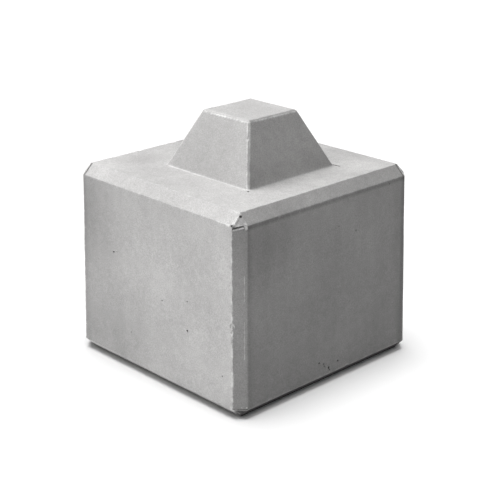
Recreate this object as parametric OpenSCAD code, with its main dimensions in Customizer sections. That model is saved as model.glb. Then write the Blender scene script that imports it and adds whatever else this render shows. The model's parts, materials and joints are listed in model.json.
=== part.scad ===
// Concrete base block with a locating stud, cast in one piece.
//
// The body is a square block whose sides lean in a little from the foot to the shoulder,
// so that the casting leaves its mould. A strip chamfer runs along every edge, and each
// corner ends in a small triangular facet. On the shoulder stands a truncated pyramid,
// the stud, which finds the socket or the column foot that is set down over it.
//
// Millimetres. The origin is the middle of the underside and +Z is up.
// Every sloping face is one flat cut, named by two points of its section.

/* [Body] */
// Width of the body across the foot, before its edges are chamfered
foot_width = 600; // [500:10:1200]
// Height of the body from the underside to the shoulder
body_height = 490; // [300:10:1000]
// How far each side leans in between the foot and the shoulder
side_draft = 10; // [2:1:20]

/* [Edges] */
// Size of the strip chamfer, measured along each face that it joins
chamfer = 25; // [15:1:40]
// How much deeper than the meeting of the chamfers each corner facet is cut
facet_depth = 1; // [0.5:0.5:4]

/* [Stud] */
// Width of the stud where it meets the shoulder
stud_base = 290; // [200:5:340]
// Width of the stud's flat top
stud_top = 160; // [80:5:180]
// Height of the stud above the shoulder
stud_height = 140; // [60:5:200]
// How far the stud stands from the body's centre line, towards +X
stud_shift = 22; // [0:1:40]
// Size of the narrow flats worn along the stud's edges
stud_arris = 4; // [1:0.5:8]

/* [Hidden] */

FOOT = foot_width / 2;
SHOULDER = FOOT - side_draft;
SIDES = [0, 90, 180, 270];
CORNERS = [45, 135, 225, 315];
SINK = 10;
STOCK = 3 * (foot_width + body_height);

// Half the width of the body at a height above the underside
function half_at(level) = FOOT - side_draft * level / body_height;

// Half the width of the stud at a height above the shoulder
function stud_half_at(level) =
    (stud_base + (stud_top - stud_base) * level / stud_height) / 2;

// Distance from the axis to a corner that is cut back by `cut` along both faces
function corner_reach(half, cut) = (half - cut / 2) * sqrt(2);

// All that lies outside one flat face. The face looks towards the bearing `side`,
// and `low` and `high` are two points of its section: [distance from the axis, height].
module beyond(side, low, high, deeper = 0) {
    lean = atan2(low[0] - high[0], high[1] - low[1]);
    rotate([0, 0, side])
        translate([low[0], 0, low[1]])
            rotate([0, -lean, 0])
                translate([-deeper, -STOCK / 2, -STOCK / 2])
                    cube(STOCK);
}

// The square block, with its leaning sides, chamfers and corner facets
module body() {
    low_band = chamfer;
    high_band = body_height - chamfer;
    difference() {
        translate([-FOOT, -FOOT, 0])
            cube([foot_width, foot_width, body_height]);
        for (side = SIDES) {
            beyond(side, [FOOT, 0], [SHOULDER, body_height]);
            beyond(side, [FOOT - chamfer, 0], [half_at(low_band), low_band]);
            beyond(side, [half_at(high_band), high_band], [SHOULDER - chamfer, body_height]);
        }
        for (side = CORNERS) {
            beyond(
                side,
                [corner_reach(FOOT, chamfer), 0],
                [corner_reach(SHOULDER, chamfer), body_height]
            );
            beyond(
                side,
                [corner_reach(FOOT, 2 * chamfer), 0],
                [corner_reach(half_at(low_band), chamfer), low_band],
                facet_depth
            );
            beyond(
                side,
                [corner_reach(half_at(high_band), chamfer), high_band],
                [corner_reach(SHOULDER, 2 * chamfer), body_height],
                facet_depth
            );
        }
    }
}

// The truncated pyramid, from a little below the shoulder to its flat top
module stud() {
    rim = stud_height - stud_arris;
    difference() {
        translate([-stud_base, -stud_base, -SINK])
            cube([2 * stud_base, 2 * stud_base, SINK + stud_height]);
        for (side = SIDES) {
            beyond(side, [stud_base / 2, 0], [stud_top / 2, stud_height]);
            beyond(
                side,
                [stud_half_at(rim), rim],
                [stud_top / 2 - stud_arris, stud_height]
            );
        }
        for (side = CORNERS)
            beyond(
                side,
                [corner_reach(stud_base / 2, stud_arris), 0],
                [corner_reach(stud_top / 2, stud_arris), stud_height]
            );
    }
}

module base_block() {
    color([0.62, 0.61, 0.6])
        union() {
            body();
            translate([stud_shift, 0, body_height])
                stud();
        }
}

base_block();
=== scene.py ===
# %% [markdown]
# # A concrete base block
#
# This lesson makes one heavy casting: a square concrete block with chamfered edges and a
# pyramid stud on top. The construction model already says how big it is and where it stands.
# What is left to make is what a crisp solid can't show: arrises rubbed round by handling,
# chips, pin holes that air left in the skin, and the mottled grey of the concrete itself.

import json
import math
import random

import bmesh
import bpy
from mathutils import Matrix, Vector, kdtree, noise


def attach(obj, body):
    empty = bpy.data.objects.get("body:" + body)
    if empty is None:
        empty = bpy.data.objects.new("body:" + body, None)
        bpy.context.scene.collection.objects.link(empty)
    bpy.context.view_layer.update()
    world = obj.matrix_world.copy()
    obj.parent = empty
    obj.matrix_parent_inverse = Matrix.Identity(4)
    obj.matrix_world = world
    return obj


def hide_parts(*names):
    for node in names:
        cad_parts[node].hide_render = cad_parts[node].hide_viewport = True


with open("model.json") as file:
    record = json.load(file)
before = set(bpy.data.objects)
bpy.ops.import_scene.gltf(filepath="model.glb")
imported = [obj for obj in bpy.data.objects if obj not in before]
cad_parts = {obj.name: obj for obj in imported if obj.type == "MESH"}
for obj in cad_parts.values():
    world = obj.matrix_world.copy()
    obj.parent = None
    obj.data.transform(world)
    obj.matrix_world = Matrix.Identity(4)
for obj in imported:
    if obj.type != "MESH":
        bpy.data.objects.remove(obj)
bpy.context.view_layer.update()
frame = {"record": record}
interfaces = {m["name"]: Vector(m["pos_m"]) for m in frame["record"]["mounts"]}

# %% [markdown]
# ## The sizes of the block
#
# The heights and the place of the stud come from the frame, so the finished piece can't drift
# away from the construction. The other sizes are the ones that its mould was made to, in
# metres: a 25 mm strip in every corner of the mould makes the chamfers.

# %% Sizes
shoulder_z = interfaces["shoulder"].z
stud_top_z = interfaces["stud_top"].z
stud_shift = interfaces["stud_top"].x

foot_width = 0.600
side_draft = 0.010
chamfer = 0.025
stud_base = 0.290
stud_top = 0.160
stud_arris = 0.004
cove = 0.003

stud_half = stud_base / 2
shoulder_half = foot_width / 2 - side_draft - chamfer
strip_top = shoulder_z - chamfer
print("shoulder at", shoulder_z, "and stud top at", stud_top_z)

# %% [markdown]
# ## The body: a cube, a taper and one bevel
#
# The body starts as a cube at the size of the foot. Scaling its top corners in by a few
# millimetres gives the sides the draft that lets a casting slide out of its mould. A bevel
# of one segment over every edge then does what the mould's strips do, and it leaves the
# little triangle at each corner where three strips meet.

# %% Make the body
def cast_body():
    shape = bmesh.new()
    bmesh.ops.create_cube(shape, size=1.0)
    bmesh.ops.scale(shape, vec=(foot_width, foot_width, shoulder_z), verts=shape.verts)
    bmesh.ops.translate(shape, vec=(0, 0, shoulder_z / 2), verts=shape.verts)
    upper = [v for v in shape.verts if v.co.z > shoulder_z / 2]
    lean = 1 - 2 * side_draft / foot_width
    bmesh.ops.scale(shape, vec=(lean, lean, 1), verts=upper)
    bmesh.ops.bevel(
        shape, geom=shape.edges[:], offset=chamfer, offset_type="OFFSET",
        segments=1, profile=0.5, affect="EDGES", material=-1,
    )
    return shape


casting = cast_body()
print("the body has", len(casting.faces), "faces")

# %% [markdown]
# ## The stud: inset, extrude and scale
#
# The stud grows out of the shoulder, so it is made from the shoulder's own face. An inset
# draws its outline, an extrude lifts a copy, and scaling the copy slopes the four flanks.
# Two bevels finish it. One segment cuts a narrow flat along the stud's own edges, as a strip
# of metal in the mould would. In the inner corner at its foot the same operator adds
# material instead: a small rounded cove, where paste gathered under the stud's mould.

# %% Raise the stud
def raise_stud(shape):
    shoulder = max(shape.faces, key=lambda f: f.calc_center_median().z)
    bmesh.ops.inset_individual(
        shape, faces=[shoulder], thickness=shoulder_half - stud_half, use_even_offset=True
    )
    bmesh.ops.translate(shape, vec=(stud_shift, 0, 0), verts=shoulder.verts)
    foot = list(shoulder.verts)
    flat = bmesh.ops.extrude_discrete_faces(shape, faces=[shoulder])["faces"][0]
    taper = stud_top / stud_base
    about_stud = Matrix.Translation((-stud_shift, 0, 0))
    bmesh.ops.scale(shape, vec=(taper, taper, 1), verts=flat.verts, space=about_stud)
    bmesh.ops.translate(shape, vec=(0, 0, stud_top_z - shoulder_z), verts=flat.verts)
    corners = set(foot) | set(flat.verts)
    stud_edges = [e for e in shape.edges if set(e.verts) <= corners]
    foot_edges = [e for e in stud_edges if set(e.verts) <= set(foot)]
    own_edges = [e for e in stud_edges if e not in foot_edges]
    bmesh.ops.bevel(
        shape, geom=own_edges, offset=stud_arris, offset_type="OFFSET",
        segments=1, profile=0.5, affect="EDGES", material=-1,
    )
    foot_edges = [e for e in shape.edges if not e.is_convex and abs(e.calc_face_angle(0)) > 0.5]
    bmesh.ops.bevel(
        shape, geom=foot_edges, offset=cove, offset_type="OFFSET",
        segments=2, profile=0.5, affect="EDGES", material=-1,
    )


raise_stud(casting)
print("with its stud it has", len(casting.faces), "faces")

# %% [markdown]
# ## Where the arrises run
#
# An arris is the sharp line where two faces meet, and it is where a block wears first. The
# crisp shape still knows its arrises, so this is the moment to write them down: points every
# millimetre or two along each one, with the direction that faces away from the block there.
# A k-d tree then finds the nearest one to any place on the surface.

# %% Note the arrises
ARRIS_ANGLE = math.radians(30)
ARRIS_STEP = 0.0015


def arris_points(shape):
    points = []
    for edge in shape.edges:
        if not edge.is_convex or edge.calc_face_angle() < ARRIS_ANGLE:
            continue
        outward = (edge.link_faces[0].normal + edge.link_faces[1].normal).normalized()
        start, end = (v.co.copy() for v in edge.verts)
        steps = max(1, round((end - start).length / ARRIS_STEP))
        points += [(start.lerp(end, i / steps), outward) for i in range(steps + 1)]
    return points


arrises = arris_points(casting)
arris_tree = kdtree.KDTree(len(arrises))
for index, (place, _) in enumerate(arrises):
    arris_tree.insert(place, index)
arris_tree.balance()
print("the arrises are", round(len(arrises) * ARRIS_STEP, 1), "m long")

# %% [markdown]
# ## Places on the block
#
# The marks that come next sit on a side, on the strip down the front corner or on the little
# triangle above it. A helper for each turns a part of the way across and up into a point, so
# a mark can be placed as one would point at it: a quarter of the way along, halfway up.

# %% Helpers for places
SIDE_NAMES = {"front": (0, -1), "right": (1, 0), "back": (0, 1), "left": (-1, 0)}
corner_tip = Vector((shoulder_half, -shoulder_half, shoulder_z))


def half_width(height):
    """The sides lean in, so the block's half width shrinks from the foot to the shoulder."""
    return foot_width / 2 - side_draft * height / shoulder_z


def on_side(name, along, height):
    """A point on one leaning side face: `along` runs from the viewer's left to right."""
    nx, ny = SIDE_NAMES[name]
    half = half_width(height)
    return Vector((nx * half - ny * along, ny * half + nx * along, height))


def part_of_side(name, along, up):
    """The same, in parts: 0 to 1 from the left corner to the right, and from foot to shoulder."""
    return on_side(name, (along - 0.5) * foot_width, up * shoulder_z)


def on_corner(across, height):
    """A point on the front corner's strip: 0 at the front side's arris, 1 at the right side's."""
    half = half_width(height)
    left = Vector((half - chamfer, -half, height))
    right = Vector((half, chamfer - half, height))
    return left.lerp(right, across)


def on_triangle(across, up):
    """A point on the little triangle over that strip: `up` runs from its base to its tip."""
    return on_corner(across, strip_top).lerp(corner_tip, up)


def across_top_chamfer(name, along):
    """The two ends of a line straight up the top chamfer of one side."""
    nx, ny = SIDE_NAMES[name]
    lower = on_side(name, along, strip_top)
    upper = Vector((nx * shoulder_half - ny * along, ny * shoulder_half + nx * along, shoulder_z))
    return lower.lerp(upper, 0.05), lower.lerp(upper, 0.95)


print("the sides lean in from", half_width(0), "to", half_width(shoulder_z), "m off the axis")

# %% [markdown]
# ## Holes, chips and cracks as one kind of mark
#
# A hole, a chip and a crack differ in size and in what they bare, but each can be made of
# hollows: a place, a radius, a depth and how much dust it holds. On two lines further on that
# dark is painted shade. A number below zero means that it bares fresh, pale paste instead. A
# crack is a row of small hollows along a line.

# %% Helpers for hollows
HOLE_DEPTH = 1.3
FRESH_PASTE = -2.2

hollows = []


def pin_hole(place, radius):
    hollows.append((place, radius, HOLE_DEPTH * radius, 1.0))


def chip(place, radius, depth):
    hollows.append((place, radius, depth, FRESH_PASTE))


def crack(start, end, breadth, depth, dust_and_shade):
    steps = math.ceil((end - start).length / breadth)
    for i in range(steps + 1):
        hollows.append((start.lerp(end, i / steps), breadth, depth, dust_and_shade))


print("a pin hole is", HOLE_DEPTH, "times as deep as its radius")

# %% [markdown]
# ## Pin holes
#
# Air bubbles caught against the mould leave small round holes in the skin. They come in
# all sizes up to a few millimetres, far more small ones than large. The plain ones are
# scattered by a seeded random draw, with only small ones on the front and on the right. The
# larger ones that give this block its own face are placed one by one. On the right a short run
# of them slants down to the foot.

# %% Scatter the plain holes and place the larger ones
random.seed(7)
SMALLEST_HOLE = 0.0007
HOLE_SPREAD = 0.0004
LARGE, SMALL = 0.0024, 0.0014

for name, count in (("front", 6), ("right", 6), ("back", 14), ("left", 14)):
    for _ in range(count):
        place = on_side(name, random.uniform(-0.25, 0.25), random.uniform(0.04, 0.45))
        largest = 0.0003 if name in ("front", "right") else 0.0014
        pin_hole(place, SMALLEST_HOLE + min(largest, random.expovariate(1 / HOLE_SPREAD)))

for along, up, radius in (
    (0.25, 0.60, LARGE), (0.70, 0.35, LARGE), (0.55, 0.45, SMALL), (0.70, 0.50, SMALL), (0.90, 0.20, SMALL),
):
    pin_hole(part_of_side("front", along, up), radius)
for along, up, radius in (
    (0.55, 0.80, SMALL), (0.65, 0.75, SMALL), (0.85, 0.93, SMALL), (0.55, 0.10, LARGE), (0.95, 0.10, SMALL),
):
    pin_hole(part_of_side("right", along, up), radius)

RUN_ALONG, RUN_UP, RUN_STEP = 0.44, 0.13, 0.015
for i in range(5):
    aside = 0.01 * (i % 2)
    place = part_of_side("right", RUN_ALONG + RUN_STEP * i + aside, RUN_UP - RUN_STEP * i)
    pin_hole(place, LARGE - 0.0004 * (i % 3))
print(len(hollows), "pin holes")

# %% [markdown]
# ## The marks on the corners
#
# The front corner took the knocks. A crack runs across it with a raised pale lip, a line of
# paste runs up the edge of the little triangle with a faint dark line beside it, and there
# are two pits and a chip. Further down come more chips and pale scrapes, and a rough line at
# the foot. The far corner on the right has one chip, so the same triangle is mirrored for it.

# %% Mark the corners
crack(on_corner(0.1, strip_top - 0.007), on_corner(0.75, strip_top), 0.0010, 0.0028, 0.6)
crack(on_corner(0.1, strip_top - 0.011), on_corner(0.75, strip_top - 0.005), 0.0013, 0.0004, -2.2)
crack(on_triangle(0.1, 0.05), on_triangle(0.1, 0.95), 0.0014, 0.0004, -2.0)
crack(on_triangle(0.3, 0.1), on_triangle(0.6, 0.6), 0.0008, 0.0005, 0.2)
chip(on_corner(0.9, strip_top - 0.004), 0.0056, 0.0018)
pin_hole(on_triangle(0.8, 0.7), 0.0027)
pin_hole(on_triangle(0, 0), 0.0028)

# A chip about halfway down, and three small ones one below the other.
chip(on_corner(0, 0.23), 0.0060, 0.0024)
for i in range(3):
    chip(on_corner(0, 0.215 - 0.013 * i), 0.0030, 0.0014)

# Pale scrapes: two down the front side's arris and two beside the other one.
SCRAPES = ((0, 0.18, 0.12), (0, 0.07, 0.03), (0.8, 0.35, 0.29), (0.8, 0.24, 0.15))
for across, upper, lower in SCRAPES:
    crack(on_corner(across, upper), on_corner(across, lower), 0.0010, 0.0003, -0.9)

# The rough line at the foot, with two small chips just above it.
foot_line = chamfer + 0.002
crack(on_corner(0, foot_line), on_corner(0.4, foot_line), 0.0011, 0.0010, 0.6)
crack(on_corner(0.4, foot_line), on_corner(1, foot_line), 0.0013, 0.0012, 0.7)
for across in (0.6, 0.95):
    chip(on_corner(across, 0.03), 0.0024, 0.0009)

mirror = Matrix.Scale(-1, 4, (0, 1, 0))
chip(mirror @ on_triangle(0.9, 0.25), 0.0055, 0.0016)
print(len(hollows), "hollows with the corners")

# %% [markdown]
# ## The lines on the chamfer and round the stud
#
# Thin dark lines cross the top chamfer near its ends; the one on the right is painted shade
# for the far corner, which is turned from the light. Along the front of the stud's foot the
# paste that gathered there dried pale, most of all on the left. A nick marks the foot's front
# corner, and a groove runs off the next one, painted dark as the stud's cast shadow.

# %% Draw the lines
LINE_INSET = 0.005
crack(*across_top_chamfer("front", LINE_INSET - shoulder_half), 0.0017, 0.0012, 0.9)
crack(*across_top_chamfer("front", -shoulder_half), 0.0026, 0.0001, 0.16)
# Painted shade: this line stands for the far corner, which is turned from the light.
crack(*across_top_chamfer("right", shoulder_half - LINE_INSET), 0.0015, 0.0010, 0.8)

paste_left = Vector((stud_shift - stud_half, -stud_half - cove / 2, shoulder_z + cove / 2))
paste_right = paste_left + Vector((stud_base, 0, 0))
paste_middle = paste_left.lerp(paste_right, 0.45)
crack(paste_left, paste_middle, 0.0020, 0.0001, -0.7)
crack(paste_middle, paste_right, 0.0017, 0.0001, -0.5)

near_corner = Vector((stud_shift + stud_half, -stud_half, shoulder_z))
nick_start = near_corner + Vector((0.002, -0.002, 0))
nick_end = near_corner + Vector((0.006, -0.005, 0))
crack(nick_start, nick_end, 0.0016, 0.0025, 1.0)
# Painted shadow: this dark groove stands for the stud's cast shadow on the shoulder.
far_corner = Vector((stud_shift + stud_half, stud_half, shoulder_z))
shadow_groove_start = far_corner + Vector((-0.007, 0.002, 0))
shadow_groove_end = far_corner + Vector((0.013, 0.005, 0))
crack(shadow_groove_start, shadow_groove_end, 0.0016, 0.0030, 1.0)

print(len(hollows), "hollows in all")
hollow_tree = kdtree.KDTree(len(hollows))
for index, hollow in enumerate(hollows):
    hollow_tree.insert(hollow[0], index)
hollow_tree.balance()

# %% [markdown]
# ## A mesh that is fine only where it has to be
#
# A block this size can't be fine all over: at one millimetre its skin would take millions of
# triangles. The trick is to cut in half every edge that is longer than its place calls for,
# again and again, and to call for short edges only near an arris or a hollow. Each round
# takes the longest edges first and only one edge of any triangle, so every cut leaves two
# sound triangles and the rounds are sure to end. The two sides at the back may be coarser.

# %% Cut the mesh
FRONT_FINEST = 0.0020
BACK_FINEST = 0.0045
HOLLOW_FINEST = 0.0020
COARSEST = 0.028
ARRIS_GROWTH = 1.5
HOLLOW_GROWTH = 1.6
PART_OF_RADIUS = 0.95
RIM_MARGIN = 1.2


def wanted_length(point):
    _, _, to_arris = arris_tree.find(point)
    _, nearest, to_hollow = hollow_tree.find(point)
    radius = hollows[nearest][1]
    finest = FRONT_FINEST if point.x > point.y else BACK_FINEST
    near_arris = finest + ARRIS_GROWTH * to_arris
    past_rim = max(0, to_hollow - RIM_MARGIN * radius)
    near_hollow = min(HOLLOW_FINEST, PART_OF_RADIUS * radius) + HOLLOW_GROWTH * past_rim
    return min(COARSEST, near_arris, near_hollow)


def cut_where_needed(shape):
    bmesh.ops.triangulate(shape, faces=shape.faces)
    settled = shape.edges.layers.int.new("settled")
    while True:
        too_long = []
        for edge in shape.edges:
            if edge[settled]:
                continue
            start, end = (v.co for v in edge.verts)
            length = (end - start).length
            if length > wanted_length((start + end) / 2):
                too_long.append((length, edge))
            else:
                edge[settled] = 1
        if not too_long:
            return
        too_long.sort(key=lambda pair: -pair[0])
        taken, cuts = set(), []
        for _, edge in too_long:
            if taken.isdisjoint(edge.link_faces):
                taken.update(edge.link_faces)
                cuts.append(edge)
        bmesh.ops.subdivide_edges(shape, edges=cuts, cuts=1, use_single_edge=True)


cut_where_needed(casting)
print("cut into", len(casting.faces), "triangles")

# %% [markdown]
# ## Wear along the arrises
#
# A worn arris is a narrow broken strip. To wear one, every point that stands above a plane a
# fraction of a millimetre under the arris is pressed down to that plane. The plane's depth
# wanders with three-dimensional noise, so the strip widens and narrows as a real one does,
# and where a second, rarer noise peaks it dips into a chip. The arris on the front side of
# the front corner was knocked most, and the one beside it stayed crisper. How far each point
# went is kept as an attribute called `worn`, and the material reads it later. It hardly
# shows on the arrises that rain and splashes have darkened again: those round the top, at
# the foot and on the left and right.

# %% Wear the arrises
WEAR = 0.00050
LEAST_WEAR = 0.00006
WEAR_REACH = 0.012
CHIP_DEPTH = 0.009
CHIP_RARITY = 0.45
BLEND = 1.5
SHELTERED, EXPOSED = 0.25, 1.1

KNOCKED_OUTLINE, KNOCKED_FRONT, KNOCKED_BESIDE = 0.5, 1.5, 0.6
KNOCKED_HIP, KNOCKED_STUD = 0.8, 0.5
CORNER_START = 0.25
TOP_START = 0.45
HIP_START = 0.07


def on_front_hip(place):
    """Whether a place is on the stud's sloping edge that faces the front corner."""
    past_middle = place.x - stud_shift > HIP_START and place.y < -HIP_START
    return place.z > shoulder_z and past_middle


def how_knocked(place):
    knocked = 1
    if place.x < -CORNER_START or place.y > CORNER_START or place.z > TOP_START:
        knocked = KNOCKED_OUTLINE
    if place.x > CORNER_START and place.y < -CORNER_START:
        on_front_side = place.x - foot_width / 2 < -foot_width / 2 - place.y
        knocked = KNOCKED_FRONT if on_front_side else KNOCKED_BESIDE
    if place.z > shoulder_z + 0.001:
        knocked = KNOCKED_HIP if on_front_hip(place) else KNOCKED_STUD
    return knocked


def wear_depth(place):
    knocked = how_knocked(place)
    broad = noise.noise(place * 28)
    fine = noise.noise(place * 230 + Vector((5, 0, 0)))
    chips = max(0, noise.noise(place * 60 + Vector((0, 9, 0))) - CHIP_RARITY)
    steady = WEAR * (1 + 0.8 * broad + 1.2 * fine)
    return max(LEAST_WEAR, knocked * steady + min(1, knocked) * CHIP_DEPTH * chips)


def is_sheltered(place, outward):
    """Whether an arris has gone dark again, so that its wear hardly shows."""
    if TOP_START < place.z < shoulder_z and place.x < 0.2:
        return True
    if shoulder_z < place.z < stud_top_z - 0.006:
        return not on_front_hip(place)
    return outward.z > 0.85 or outward.x > 0.9 or outward.x < -0.5 or place.z < 0.03


def wear_arrises(shape):
    worn = shape.verts.layers.float.new("worn")
    pressed = 0
    for vert in shape.verts:
        place, index, distance = arris_tree.find(vert.co)
        if distance > WEAR_REACH:
            continue
        outward = arrises[index][1]
        depth = wear_depth(place)
        above = outward.dot(vert.co - place) + depth
        if above > BLEND * depth:
            continue
        if above > 0:
            vert.co -= outward * above
            pressed += 1
        bared = max(0, min(1, 1 + (above - depth * 0.5) / depth))
        vert[worn] = bared * (SHELTERED if is_sheltered(place, outward) else EXPOSED)
    print(pressed, "points of the arrises worn down")


wear_arrises(casting)

# %% [markdown]
# ## Pressing in the hollows
#
# Each hollow is a round cup. The points inside its rim move straight in, and noise makes the
# rim a little uneven. An attribute marks the dusty ones, and the two lines whose dark is
# painted shade. A chip holds no dust: it bares fresh paste, so it counts as worn.

# %% Press in the hollows
UNEVEN_RIM = 0.3


def press_hollows(shape):
    pressed = 0
    dirt_and_shade = shape.verts.layers.float.new("dirt_and_shade")
    worn = shape.verts.layers.float["worn"]
    shape.normal_update()
    for vert in shape.verts:
        place, index, distance = hollow_tree.find(vert.co)
        _, radius, depth, dust_and_shade = hollows[index]
        reach = radius * (1 + UNEVEN_RIM * noise.noise(vert.co * 400))
        if distance < reach:
            cup = math.sqrt(1 - (distance / reach) ** 2)
            vert.co -= vert.normal * (depth * cup)
            vert[dirt_and_shade] = cup * max(0, dust_and_shade)
            vert[worn] = max(vert[worn] * (1 - max(0, dust_and_shade)), -dust_and_shade * cup)
            pressed += 1
    print(pressed, "points pressed into hollows")


press_hollows(casting)

# %% [markdown]
# ## Darker and lighter areas
#
# Areas a hand or two wide are painted a few per cent darker or lighter. They are painted
# light and shade: each one lightens or darkens only the faces turned one way, so that those
# faces take the light and shade that the lamps don't give them. They sit on a grid of five
# centimetres: each has the way its face looks, a centre, a reach and a change. The sides are
# also painted darker towards the foot, and painted shade lies in a line under the top chamfer
# on the right and beside the far corners. The foot is darkest of all, with a painted shadow
# band that reaches higher up on the right than on the front. One attribute keeps the sum.

# %% Shade the areas
FRONT, RIGHT, UP = (0, -1, 0), (1, 0, 0), (0, 0, 1)
FRONT_EDGE, BACK_EDGE = (0.707, -0.707, 0), (0.707, 0.707, 0)
TOP_FRONT, TOP_RIGHT = (0, -0.707, 0.707), (0.707, 0, 0.707)
STUD_FRONT, STUD_RIGHT = (0, -0.907, 0.421), (0.907, 0, 0.421)
STUD_RIM, FRONT_FOOT = (0.538, 0, 0.843), (0, -0.707, -0.707)
WHOLE = 1.20  # a reach that takes in the whole face
# Painted light and shade: each row lightens or darkens only the faces turned one way.
LIGHT_AND_SHADE_AREAS = (
    (FRONT, (-0.30, -0.30, 0.10), 0.35, -0.25),
    (FRONT, (-0.30, -0.30, 0.40), 0.25, -0.40),
    (FRONT, (0.25, -0.30, 0.10), 0.20, 0.10),
    (RIGHT, (0.30, 0.00, 0.25), WHOLE, -0.15),
    (RIGHT, (0.30, -0.25, 0.40), 0.15, -0.15),
    (TOP_RIGHT, (0.30, 0.00, 0.50), WHOLE, -0.05),
    (TOP_FRONT, (0.00, -0.30, 0.50), WHOLE, -0.05),
    (BACK_EDGE, (0.30, 0.30, 0.25), WHOLE, -0.30),
    (FRONT_EDGE, (0.30, -0.30, 0.45), 0.20, -0.15),
    # Painted light on the down-turned chamfer at the front of the foot.
    (FRONT_FOOT, (0.00, -0.30, 0.00), WHOLE, 0.50),
    (UP, (0.00, -0.20, 0.50), 0.25, -0.10),
    (UP, (-0.25, 0.10, 0.50), 0.30, -0.25),
    (UP, (-0.20, -0.15, 0.50), 0.10, -0.20),
    (UP, (0.00, 0.25, 0.50), 0.20, -0.10),
    (UP, (0.15, 0.25, 0.50), 0.15, -0.15),
    (UP, (0.20, 0.20, 0.50), 0.10, 0.20),
    (UP, (0.20, 0.05, 0.50), 0.15, 0.10),
    (UP, (0.00, 0.00, 0.65), 0.15, -0.10),
    (STUD_FRONT, (0.00, -0.10, 0.55), 0.25, -0.15),
    (STUD_RIGHT, (0.15, 0.00, 0.55), 0.25, 0.30),
    (STUD_RIM, (0.10, 0.00, 0.65), 0.50, -0.15),
)
# Painted shade: the upright faces grow darker towards the foot.
LOW_SHADE_HEIGHT, LOW_SHADE = 0.28, -0.10
# Painted shadow: a dark band at the foot, reaching higher on faces turned to the right.
FOOT_SHADOW_LOWEST, FOOT_SHADOW_HIGHEST, FOOT_SHADOW = 0.012, 0.025, -0.80
FOOT_SHADOW_RISE, FOOT_SHADOW_EDGE = 0.022, 0.004
# Painted shade: a dark line on the right side just under the top chamfer's arris.
LEDGE_HEIGHT, LEDGE_REACH, LEDGE_SHADE = 0.460, 0.008, -0.32
# Painted shade: dark strips at the far ends of the sides and beside the front corner on the right.
END_LINE, END_REACH, EDGE_SHADE = 0.262, 0.010, -0.30
BESIDE_LINE, BESIDE_REACH = 0.264, 0.014
FRONT_SHARE, BESIDE_SHARE = 0.4, 0.5
TURNED_START = 0.8


def near_line(value, line, reach):
    """1 on the line, falling to 0 at its reach."""
    return max(0, 1 - abs(value - line) / reach)


def paint_shade_lines(vert):
    """Painted shade: darker towards the foot, a shadow band at the foot and dark lines near the edges."""
    across, along, height = vert.co
    to_right, to_front = max(0, vert.normal.x), max(0, -vert.normal.y)
    upright = 1 - abs(vert.normal.z)
    # Painted shade, darker towards the foot.
    total = LOW_SHADE * max(0, 1 - height / LOW_SHADE_HEIGHT) * upright
    # Painted shadow band at the foot, higher on the side turned to the right.
    if vert.normal.z > -0.9:
        shadow_top = min(FOOT_SHADOW_HIGHEST, FOOT_SHADOW_LOWEST + FOOT_SHADOW_RISE * to_right)
        total += FOOT_SHADOW * max(0, min(1, (shadow_top - height) / FOOT_SHADOW_EDGE))
    # Painted shade under the top chamfer's arris on the right.
    total += LEDGE_SHADE * to_right * near_line(height, LEDGE_HEIGHT, LEDGE_REACH)
    # Painted shade along the far ends and beside the front corner.
    far_side = near_line(along, END_LINE, END_REACH) * to_right
    far_front = near_line(across, -END_LINE, END_REACH) * to_front
    beside = near_line(along, -BESIDE_LINE, BESIDE_REACH) * to_right
    return total + EDGE_SHADE * (far_side + FRONT_SHARE * far_front + BESIDE_SHARE * beside) * upright


def paint_light_and_shade(shape):
    painted_light_and_shade = shape.verts.layers.float.new("painted_light_and_shade")
    shape.normal_update()
    areas = [(Vector(facing), Vector(centre), *rest) for facing, centre, *rest in LIGHT_AND_SHADE_AREAS]
    for vert in shape.verts:
        total = paint_shade_lines(vert)
        for facing, centre, reach, change in areas:
            turned = max(0, vert.normal.dot(facing) - TURNED_START) / (1 - TURNED_START)
            nearness = max(0, 1 - (vert.co - centre).length / reach)
            total += change * turned * nearness * nearness * (3 - 2 * nearness)
        vert[painted_light_and_shade] = total
    shades = [vert[painted_light_and_shade] for vert in shape.verts]
    print("the shade runs from", round(min(shades), 2), "to", round(max(shades), 2))


paint_light_and_shade(casting)

# %% [markdown]
# ## The slight waves of a cast face
#
# Mould panels bow and a trowelled top is never quite flat. Every face therefore sinks in by
# a little, at most about 1.2 mm, with slow noise. It only ever sinks, so the piece stays
# inside the construction model, and the foot stays level for it to stand on.

# %% Let the faces wave
WAVE = 0.0005
SLOW_WAVES, QUICK_WAVES = 7, 31
QUICK_SHARE = 0.35
LEVEL_FOOT = 0.02


def wave_faces(shape):
    shape.normal_update()
    deepest = 0
    for vert in shape.verts:
        if vert.co.z < 0.001:
            continue
        slow = 1 + noise.noise(vert.co * SLOW_WAVES)
        quick = 1 + noise.noise(vert.co * QUICK_WAVES + Vector((0, 0, 4)))
        waved = slow + QUICK_SHARE * quick
        vert.co -= vert.normal * WAVE * waved * min(1, vert.co.z / LEVEL_FOOT)
        deepest = max(deepest, WAVE * waved)
    print("the faces sink in by at most", round(deepest * 1000, 2), "mm")


wave_faces(casting)

# %% [markdown]
# ## From a shape to an object
#
# The shape becomes a mesh and the mesh an object. Smooth shading suits a cast skin, but the
# lines where two faces meet stay sharp, so they are marked by their angle. Then the frame is
# told that the piece rides on the block's only body and takes the construction model's place.

# %% Finish the mesh
SHARP_ANGLE = math.radians(20)


def as_object(shape, name):
    bmesh.ops.recalc_face_normals(shape, faces=shape.faces)
    mesh = bpy.data.meshes.new(name)
    shape.to_mesh(mesh)
    shape.free()
    mesh.shade_smooth()
    mesh.set_sharp_from_angle(angle=SHARP_ANGLE)
    made = bpy.data.objects.new(name, mesh)
    bpy.context.scene.collection.objects.link(made)
    return made


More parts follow.
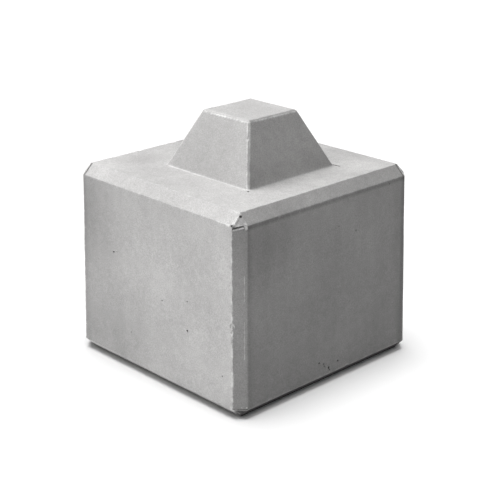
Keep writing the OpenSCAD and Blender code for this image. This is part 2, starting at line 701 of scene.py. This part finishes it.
block = as_object(casting, "concrete_casting")
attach(block, "root")
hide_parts("base_block")
print("the casting has", len(block.data.polygons), "triangles")

# %% [markdown]
# ## Concrete
#
# Seen close, smooth concrete is a grey paste with several layers of change in it: clouds a
# hand wide, faint streaks where water ran down the mould, and a fine salt-and-pepper grain.

# %% Helpers for the material
def node(tree, kind, **settings):
    made = tree.nodes.new(kind)
    for name, value in settings.items():
        if name in made.inputs:
            made.inputs[name].default_value = value
        else:
            setattr(made, name, value)
    return made


def noise_pattern(tree, coordinates, scale, detail, stretch=(1, 1, 1)):
    placed = node(tree, "ShaderNodeMapping", Scale=stretch)
    pattern = node(tree, "ShaderNodeTexNoise", Scale=scale, Detail=detail)
    tree.links.new(coordinates, placed.inputs["Vector"])
    tree.links.new(placed.outputs["Vector"], pattern.inputs["Vector"])
    return pattern.outputs["Fac"]


def remap(tree, value, low, high, out_low, out_high):
    made = node(tree, "ShaderNodeMapRange")
    for name, number in (
        ("From Min", low), ("From Max", high), ("To Min", out_low), ("To Max", out_high),
    ):
        made.inputs[name].default_value = number
    tree.links.new(value, made.inputs["Value"])
    return made.outputs["Result"]


def math_of(tree, operation, first, second):
    made = node(tree, "ShaderNodeMath", operation=operation)
    for socket, value in zip(made.inputs, (first, second)):
        if isinstance(value, (int, float)):
            socket.default_value = value
        else:
            tree.links.new(value, socket)
    return made.outputs[0]


def mix_colour(tree, amount, first, second, blend="MIX"):
    made = node(tree, "ShaderNodeMix", data_type="RGBA", blend_type=blend)
    for socket, value in zip((made.inputs[0], made.inputs[6], made.inputs[7]), (amount, first, second)):
        if isinstance(value, (int, float, tuple)):
            socket.default_value = value
        else:
            tree.links.new(value, socket)
    return made.outputs[2]


# %% [markdown]
# ## The concrete itself
#
# Five layers of noise multiply one plain grey, from clouds down to grain. The painted light
# and shade kept on the mesh scales it, `worn` bares pale paste in broken patches, and the
# dark of the hollows lays dirt in the holes and painted shade on two lines. Every pattern
# runs on Object coordinates, so it sits still on the block.

# %% Mix the concrete
CONCRETE = (0.300, 0.2965, 0.2935, 1)
PALE_PASTE = (0.60, 0.597, 0.592, 1)
DIRT_AND_SHADE = (0.05, 0.047, 0.044, 1)
NOISE_LOW, NOISE_HIGH = 0.3, 0.7  # nearly all of a noise pattern lies between these


def concrete():
    material = bpy.data.materials.new("cast_concrete")
    material.use_nodes = True
    tree = material.node_tree
    shader = tree.nodes["Principled BSDF"]
    place = node(tree, "ShaderNodeTexCoord").outputs["Object"]
    clouds = noise_pattern(tree, place, 6, 5)
    streaks = noise_pattern(tree, place, 1, 5, stretch=(22, 22, 2.4))
    mottle = noise_pattern(tree, place, 55, 3)
    speckle = noise_pattern(tree, place, 320, 1)
    grain = noise_pattern(tree, place, 620, 2)
    light = remap(tree, clouds, NOISE_LOW, NOISE_HIGH, 0.93, 1.07)
    for pattern, darkest, lightest in (
        (streaks, 0.955, 1.045), (mottle, 0.94, 1.06), (speckle, 0.90, 1.10), (grain, 0.88, 1.12),
    ):
        layer = remap(tree, pattern, NOISE_LOW, NOISE_HIGH, darkest, lightest)
        light = math_of(tree, "MULTIPLY", light, layer)
    worn = node(tree, "ShaderNodeAttribute", attribute_name="worn").outputs["Fac"]
    dirt_and_shade = node(tree, "ShaderNodeAttribute", attribute_name="dirt_and_shade").outputs["Fac"]
    painted_light_and_shade = node(tree, "ShaderNodeAttribute", attribute_name="painted_light_and_shade").outputs["Fac"]
    # Painted light and shade: the mesh's lighter and darker areas scale the grey.
    light = math_of(tree, "MULTIPLY", light, math_of(tree, "ADD", painted_light_and_shade, 1.0))
    tinted = mix_colour(tree, 1.0, CONCRETE, light, blend="MULTIPLY")
    pale = math_of(tree, "MULTIPLY", worn, remap(tree, mottle, 0.35, 0.62, 0.05, 0.75))
    tinted = mix_colour(tree, pale, tinted, PALE_PASTE)
    # Dirt in the holes and cracks, and painted shade on the two lines that stand for shade.
    tinted = mix_colour(tree, math_of(tree, "MULTIPLY", dirt_and_shade, 0.8), tinted, DIRT_AND_SHADE)
    tree.links.new(tinted, shader.inputs["Base Color"])
    roughness = remap(tree, mottle, NOISE_LOW, NOISE_HIGH, 0.76, 0.92)
    tree.links.new(roughness, shader.inputs["Roughness"])
    shader.inputs["Specular IOR Level"].default_value = 0.3
    bump = node(tree, "ShaderNodeBump", Strength=0.35, Distance=0.0006)
    height = math_of(tree, "ADD", math_of(tree, "MULTIPLY", grain, 0.5), mottle)
    tree.links.new(height, bump.inputs["Height"])
    tree.links.new(bump.outputs["Normal"], shader.inputs["Normal"])
    return material


block.data.materials.append(concrete())
print("the concrete has", len(block.data.materials[0].node_tree.nodes), "nodes")

# %% [markdown]
# ## The floor
#
# The floor is a plain white sheet, much larger than the view so that its edge never shows.
# It is well lit, and it throws light up at the sides of the block as a studio table does.

# %% Floor
def make_floor():
    sheet = bmesh.new()
    bmesh.ops.create_grid(sheet, x_segments=1, y_segments=1, size=20)
    mesh = bpy.data.meshes.new("floor")
    sheet.to_mesh(mesh)
    sheet.free()
    floor = bpy.data.objects.new("floor", mesh)
    bpy.context.scene.collection.objects.link(floor)
    paper = bpy.data.materials.new("floor_paper")
    paper.use_nodes = True
    shader = paper.node_tree.nodes["Principled BSDF"]
    shader.inputs["Base Color"].default_value = (0.9, 0.9, 0.9, 1)
    shader.inputs["Roughness"].default_value = 0.9
    shader.inputs["Specular IOR Level"].default_value = 0.0
    mesh.materials.append(paper)
    return floor


floor = make_floor()
print("the floor measures", [round(s, 1) for s in floor.dimensions], "m")

# %% [markdown]
# ## The light
#
# Three broad lights reach the block only: one high on the left, one low in front of it and a
# weaker one overhead. They shape it and leave the right side in shade. Three more reach the
# floor only. The wide one keeps the block's shadow pale, and the narrow one from above draws
# it close round the foot. The last, a faint one, comes in from the right.

# %% Light
SKY = 0.09


def dome_light():
    world = bpy.data.worlds.new("dome")
    bpy.context.scene.world = world
    world.use_nodes = True
    world.node_tree.nodes["Background"].inputs["Color"].default_value = (1, 1, 1, 1)
    world.node_tree.nodes["Background"].inputs["Strength"].default_value = SKY


def broad_light(name, towards, strength, spread, receivers=None):
    lamp = bpy.data.lights.new(name, "SUN")
    lamp.energy = strength * math.pi
    lamp.angle = math.radians(spread)
    made = bpy.data.objects.new(name, lamp)
    made.rotation_euler = Vector(towards).to_track_quat("Z", "Y").to_euler()
    bpy.context.scene.collection.objects.link(made)
    if receivers:
        group = bpy.data.collections.new(name + "_lights")
        for thing in receivers:
            group.objects.link(thing)
        made.light_linking.receiver_collection = group
    return made


def from_direction(azimuth, elevation):
    turn, rise = math.radians(azimuth), math.radians(elevation)
    return (math.sin(turn) * math.cos(rise), -math.cos(turn) * math.cos(rise), math.sin(rise))


dome_light()
broad_light("high_left", from_direction(-75, 62), 1.62, 60, [block])
broad_light("low_front", from_direction(-50, 15), 1.15, 50, [block])
broad_light("overhead", from_direction(0, 90), 0.45, 60, [block])
broad_light("floor_wide", (0.00, -0.03, 1.0), 0.26, 96, [floor])
broad_light("floor_narrow", (-0.06, -0.04, 1.0), 0.80, 34, [floor])
broad_light("floor_right", (0.60, -0.10, 1.0), 0.14, 30, [floor])
print(len(bpy.data.lights), "broad lights and a faint dome")

# %% [markdown]
# ## The camera
#
# A long lens from a few metres away keeps the block's upright edges almost parallel. The
# camera looks at the front corner from a little above, at a point near half height. The
# Standard view transform keeps the greys as they are mixed.

# %% Camera
def aim_camera(azimuth, elevation, roll, distance, target, focal_length):
    lens = bpy.data.cameras.new("camera")
    lens.lens = focal_length
    camera = bpy.data.objects.new("camera", lens)
    turn = (
        Matrix.Rotation(math.radians(azimuth), 4, "Z")
        @ Matrix.Rotation(math.radians(90 - elevation), 4, "X")
        @ Matrix.Rotation(math.radians(roll), 4, "Z")
    )
    camera.matrix_world = Matrix.Translation(target) @ turn @ Matrix.Translation((0, 0, distance))
    bpy.context.scene.collection.objects.link(camera)
    bpy.context.scene.camera = camera
    print("the camera stands at", [round(c, 2) for c in camera.matrix_world.translation], "m")


aim_camera(46.5, 20.2, -0.2, 3.19, (-0.004, -0.004, 0.285), 95)
bpy.context.scene.view_settings.view_transform = "Standard"

# %% [markdown]
# ## Updating the scene
#
# The finished piece has to lie inside the construction model. The scene is brought up to
# date once more.

# %% Update the scene
bpy.context.view_layer.update()
